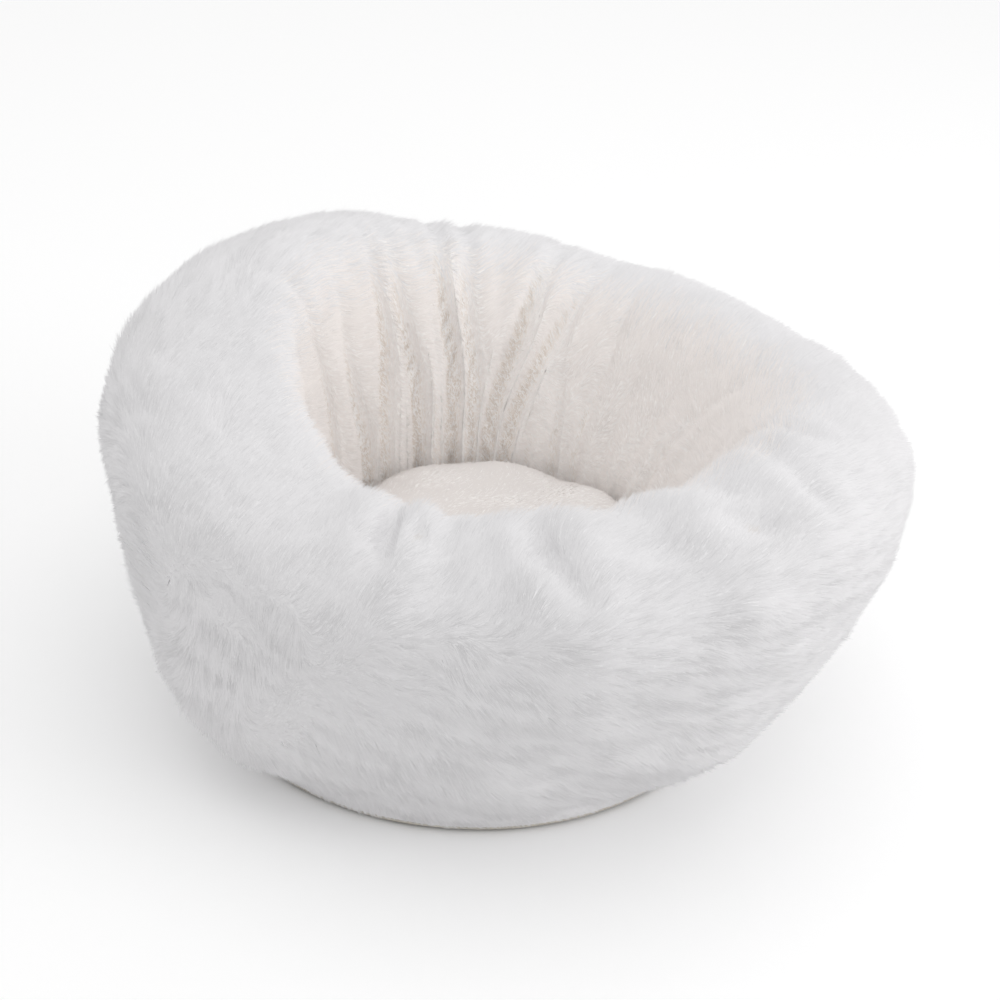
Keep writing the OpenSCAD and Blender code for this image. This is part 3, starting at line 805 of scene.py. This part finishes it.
thread = weave_material("sewing_thread", (0.86, 0.85, 0.84), 2500)
thread.node_tree.nodes["Bump"].inputs["Strength"].default_value = 0.15
tape_weave = weave_material("zip_tape_weave", (0.82, 0.81, 0.80), 5200)
twill = weave_material("twill_tape_weave", (0.84, 0.82, 0.78), 4000)
nylon = weave_material("coil_nylon", (0.90, 0.89, 0.87), 2600)
nylon.node_tree.nodes["Principled BSDF"].inputs["Roughness"].default_value = 0.45
base_weave = weave_material("base_cloth_weave", (0.62, 0.58, 0.51), 3000)
lining_weave = weave_material("floor_cloth_weave", (0.84, 0.80, 0.75), 2400)
wadding = plush_material("wadding", (0.86, 0.86, 0.86), 90)
satin = weave_material("label_satin", (0.88, 0.88, 0.87), 7000)
satin.node_tree.nodes["Principled BSDF"].inputs["Roughness"].default_value = 0.5

# Up the edge cone: the zip's middle, the gap to each tape, the tapes' widths and thickness
ZIP_MID, TAPE_NEAR, TAPE_LOW, TAPE_UP, TAPE_T = 0.018, 0.0012, 0.015, 0.0093, 0.001
STITCH_PITCH, STITCH_TURN = 0.0185, 0.0150
ZIP_HALF = math.radians(50)
zip_turns = np.linspace(math.pi / 2 - ZIP_HALF, math.pi / 2 + ZIP_HALF, 161)[:, None]
for name, low, high, selvedge in (
        ("zip_tape_lower", ZIP_MID - TAPE_NEAR - TAPE_LOW, ZIP_MID - TAPE_NEAR, 1),
        ("zip_tape_upper", ZIP_MID + TAPE_NEAR, ZIP_MID + TAPE_NEAR + TAPE_UP, -1)):
    across_tape = np.linspace(low, high, 15)[None, :]
    to_coil = (high - across_tape) if selvedge > 0 else (across_tape - low)
    cord_edge = 0.00022 * bell(to_coil - 0.0006, 0.0005)
    wavy = 0.00010 * np.sin(zip_turns * 70 + across_tape * 500)
    face = on_edge(zip_turns, across_tape, TAPE_T - 0.00025 + cord_edge + wavy)
    back = on_edge(zip_turns, across_tape, 0.0001 + 0 * cord_edge + 0 * wavy)
    tape = solid_grid(name + "_cloth", back, face, [tape_weave], closed=False)
    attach(tape, "bed")
    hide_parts(name)
    rows_at = (low + 0.0020, high - 0.0062) if selvedge > 0 else (high - 0.0016,)
    for k, at_along in enumerate(rows_at):
        t = np.arange(math.pi / 2 - ZIP_HALF + 0.012, math.pi / 2 + ZIP_HALF - 0.012,
                      STITCH_PITCH)
        out_n = on_edge(t, 0.0, 1.0) - on_edge(t, 0.0, 0.0)
        row_of = stitches(f"{name}_stitches_{k + 1}", on_edge(t, at_along, TAPE_T - 0.0002),
                          on_edge(t + STITCH_TURN, at_along, TAPE_T - 0.0002), out_n, [thread])
        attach(row_of, "bed")

COIL_PITCH, COIL_W, COIL_LIFT, COIL_H, WIRE_R = 0.00125, 0.00205, 0.00102, 0.0019, 0.00030
COIL_HALF, COIL_R = math.radians(48), 0.1755
COIL_INNER_EDGE = -0.00035  # the coils' heads cross the zip's middle, so that they mesh
loops_count = int(2 * COIL_HALF * COIL_R / COIL_PITCH)
POINTS_A_LOOP = 12
step = np.arange(loops_count * POINTS_A_LOOP + 1) / POINTS_A_LOOP
for name, way, phase in (("zip_coil_lower", -1, 0.0), ("zip_coil_upper", 1, 0.5)):
    circle = 2 * math.pi * (step + phase)
    reach = (COIL_W - COIL_INNER_EDGE) / 2 - WIRE_R
    along_cone = ZIP_MID + way * (COIL_INNER_EDGE + WIRE_R + reach * (1 - np.cos(circle)))
    lift_of = COIL_LIFT + COIL_H / 2 + (COIL_H / 2 - WIRE_R) * np.sin(circle) * way
    turn_of = math.pi / 2 - COIL_HALF + (step + 0.18 * np.sin(circle)) / loops_count * 2 * COIL_HALF
    coil = tube(name + "_wire", on_edge(turn_of, along_cone, lift_of), WIRE_R, 6, [nylon])
    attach(coil, "bed")
    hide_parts(name)

# Base cloth, a little slack between its seam and the stuffing, with a seam round its edge
PANEL_LOW, PANEL_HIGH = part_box("base_panel")
PANEL_R = (PANEL_HIGH.x - PANEL_LOW.x) / 2
px, py, out = disc_grid(PANEL_R, 40, 160, (0, 0))
slack = 0.00028 * lumps(np.stack([px, py, 0 * px], axis=2), 0.05, 51)
rolled = 0.0006 * smooth_step(PANEL_R - 0.003, PANEL_R, out)
under_face = np.stack([px, py, PANEL_LOW.z + 0.0003 + slack + rolled], axis=2)
upper_face = np.stack([px, py, PANEL_HIGH.z - 0.0003 + slack - rolled], axis=2)
base_cloth = solid_grid("base_panel_cloth", upper_face[:, ::-1], under_face[:, ::-1], [base_weave])
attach(base_cloth, "bed")
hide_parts("base_panel")
t = np.arange(0, 2 * math.pi - 0.02, 2 * math.pi / 250)
for k, ring_r in enumerate((PANEL_R - 0.0045, PANEL_R - 0.0095)):
    starts, ends = (np.stack([ring_r * np.cos(at_turn), ring_r * np.sin(at_turn),
                              0 * at_turn + PANEL_LOW.z + 0.0003], axis=1)
                    for at_turn in (t, t + 0.0195))
    down = np.tile([0.0, 0.0, -1.0], (len(t), 1))
    seam = stitches(f"base_seam_stitches_{k + 1}", starts, ends, down, [thread], 0.0003)
    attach(seam, "bed")

# The seam between the base cloth and the wall is bound with a strip of the base cloth
t = np.linspace(0, 2 * math.pi, 721)
snug = 0.00012 * np.sin(t * 250)
binding_r = EDGE_R - 0.0012 + snug
binding_path = np.stack([binding_r * np.cos(t), binding_r * np.sin(t),
                         0 * t + (PANEL_HIGH.z + EDGE_Z) / 2 - 0.0002], axis=1)
binding = tube("base_seam_binding", binding_path, 0.0013, 10, [base_weave])
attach(binding, "bed")

# Well floor, the pad under it and the tape that holds the gathers
FLOOR_LOW, FLOOR_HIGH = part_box("well_floor")
FLOOR_R = (FLOOR_HIGH.x - FLOOR_LOW.x) / 2
px, py, out = disc_grid(FLOOR_R, 30, 120, WELL)
slack = 0.0002 * lumps(np.stack([px, py, 0 * px], axis=2), 0.04, 52)
floor_cloth = solid_grid("well_floor_cloth",
                         np.stack([px, py, FLOOR_HIGH.z - 0.0003 + slack], axis=2)[:, ::-1],
                         np.stack([px, py, FLOOR_LOW.z + 0.0003 + slack], axis=2)[:, ::-1],
                         [lining_weave])
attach(floor_cloth, "bed")
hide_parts("well_floor")

PAD_LOW, PAD_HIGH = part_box("base_pad")
PAD_R = (PAD_HIGH.x - PAD_LOW.x) / 2
px, py, out = disc_grid(PAD_R, 24, 96, WELL)
edge_fall = 0.012 * (1 - np.sqrt((1 - smooth_step(PAD_R - 0.018, PAD_R, out) ** 2).clip(0)))
soft_top = 0.0012 * (lumps(np.stack([px, py, 0 * px], axis=2), 0.03, 53) - 1).clip(-2, 0)
base_wadding = solid_grid(
    "base_wadding", np.stack([px, py, PAD_HIGH.z + soft_top - edge_fall], axis=2)[:, ::-1],
    np.stack([px, py, PAD_LOW.z + edge_fall * 0.8], axis=2)[:, ::-1], [wadding])
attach(base_wadding, "bed")
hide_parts("base_pad")

TWILL_LOW, TWILL_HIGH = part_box("gather_tape")
TWILL_R = (TWILL_HIGH.x - TWILL_LOW.x) / 2
t = (np.arange(240) / 240 * 2 * math.pi)[:, None]
z = np.linspace(TWILL_LOW.z, TWILL_HIGH.z, 9)[None, :]
ripple = 0.0003 * np.sin(60 * t) * np.cos((z - TWILL_LOW.z) * 260)
rings = [np.stack([WELL[0] + (TWILL_R - gap_in + ripple) * np.cos(t),
                   WELL[1] + (TWILL_R - gap_in + ripple) * np.sin(t), z + 0 * t], axis=2)
         for gap_in in (0.0003, 0.0008)]
gather_cloth = solid_grid("gather_tape_cloth", rings[0], rings[1], [twill])
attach(gather_cloth, "bed")
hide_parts("gather_tape")

# Blank label, sewn in at its foot, beside the end of the zip
LABEL_W, LABEL_L, LABEL_TURN, LABEL_START = 0.022, 0.026, math.radians(149), 0.001
u = np.linspace(-0.5, 0.5, 17)[:, None]
v = np.linspace(0, 1, 21)[None, :]
turn_of = LABEL_TURN - u * LABEL_W / (EDGE_R + 0.010) + 0 * v
curl_up = 0.0008 + 0.0020 * v ** 2 * (1 + 0.3 * u) + 0.0002 * np.sin(9 * u + 5 * v)
label_face = on_edge(turn_of, LABEL_START + LABEL_L * v + 0 * u, curl_up + 0.0003)
label_back = on_edge(turn_of, LABEL_START + LABEL_L * v + 0 * u, curl_up)
label = solid_grid("care_label_cloth", label_face, label_back, [satin], closed=False)
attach(label, "bed")
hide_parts("care_label")


# ---------------------------------------------------------------- hard pieces kept from the frame

def lacquer_material(name, colour):
    """Satin lacquer over cast zinc, with the casting's faint unevenness under it."""
    m = principled(name, colour, 0.32, specular=0.5)
    t = m.node_tree
    noise = add_noise(t, 1100, 3)
    t.links.new(add_ramp(t, noise, 0.24, 0.44),
                t.nodes["Principled BSDF"].inputs["Roughness"])
    add_bump(t, noise, 0.25, 0.00005)
    return m


def finish_node(node, material, bevel):
    """A CAD node kept as it is, with a material and eased edges."""
    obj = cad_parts[node]
    obj.data.materials.clear()
    obj.data.materials.append(material)
    joined = obj.modifiers.new("joined corners", "WELD")
    joined.merge_threshold = 0.00001
    ease = obj.modifiers.new("eased edges", "BEVEL")
    ease.width, ease.segments = bevel, 3
    ease.limit_method, ease.angle_limit = "ANGLE", math.radians(40)
    ease.harden_normals = False


lacquer = lacquer_material("white_lacquer", (0.71, 0.71, 0.69))
for node, bevel in (("zip_top_stops", 0.0003), ("zip_bottom_stop", 0.0004),
                    ("zip_slider", 0.00025), ("zip_pull_tab", 0.00025)):
    finish_node(node, lacquer, bevel)
rubber = plush_material("grip_rubber", (0.36, 0.34, 0.31), 1500)
rubber.node_tree.nodes["Principled BSDF"].inputs["Roughness"].default_value = 0.6
finish_node("grip_dots", rubber, 0.0006)

# ---------------------------------------------------------------- stage, light, camera

floor_material = principled("floor", (1, 1, 1), 0.9)
# White to the camera, and a little darker for the light that it throws back at the bed
tree = floor_material.node_tree
path = tree.nodes.new("ShaderNodeLightPath")
tree.links.new(add_ramp(tree, path.outputs["Is Camera Ray"], 0.85, 1.0),
               tree.nodes["Principled BSDF"].inputs["Base Color"])
floor = mesh_of("floor", [(-6, -6, 0), (6, -6, 0), (6, 6, 0), (-6, 6, 0)], [(0, 1, 2, 3)],
                [floor_material])

world = bpy.data.worlds.new("world")
scene.world = world
world.use_nodes = True
# Brighter from above and behind than from below and in front
sky = world.node_tree
sky.nodes["Background"].inputs["Color"].default_value = (1, 1, 1, 1)
facing = sky.nodes.new("ShaderNodeTexCoord")
toward = sky.nodes.new("ShaderNodeVectorMath")
toward.operation = "DOT_PRODUCT"
toward.inputs[1].default_value = (0.15, 0.45, 0.88)
dimmer = sky.nodes.new("ShaderNodeMapRange")
dimmer.inputs["From Min"].default_value = -1.0
dimmer.inputs["To Min"].default_value, dimmer.inputs["To Max"].default_value = 0.46, 0.96
sky.links.new(facing.outputs["Generated"], toward.inputs[0])
sky.links.new(toward.outputs["Value"], dimmer.inputs["Value"])
sky.links.new(dimmer.outputs["Result"], sky.nodes["Background"].inputs["Strength"])


def area(name, place, aim, power, size):
    """A square area light at place that faces aim."""
    light = bpy.data.lights.new(name, "AREA")
    light.energy, light.size = power, size
    o = bpy.data.objects.new(name, light)
    scene.collection.objects.link(o)
    o.location = place
    o.rotation_mode = "QUATERNION"
    o.rotation_quaternion = (Vector(aim) - Vector(place)).to_track_quat("-Z", "Y")


area("key", (2.0, -0.55, 0.75), (0, 0, 0.1), 10.5, 1.2)
area("top", (0.1, 0.2, 2.4), (0, 0, 0.1), 8, 2.2)

camera = bpy.data.objects.new("camera", bpy.data.cameras.new("camera"))
scene.collection.objects.link(camera)
elevation, roll, distance = math.radians(30.6), math.radians(2.85), 1.286
aim = Vector((0, 0, 0.11))
forward = Vector((0, math.cos(elevation), -math.sin(elevation)))
right = Vector((1, 0, 0))
rise = right.cross(forward)
right, rise = (right * math.cos(roll) + rise * math.sin(roll),
               rise * math.cos(roll) - right * math.sin(roll))
axes = Matrix((right, rise, -forward)).transposed().to_4x4()
camera.matrix_world = Matrix.Translation(aim - forward * distance) @ axes
camera.data.lens = 74.95
camera.data.shift_x, camera.data.shift_y = 0.0266, 0.0261
camera.data.clip_start, camera.data.clip_end = 0.05, 20
scene.camera = camera
scene.view_settings.view_transform = "Standard"
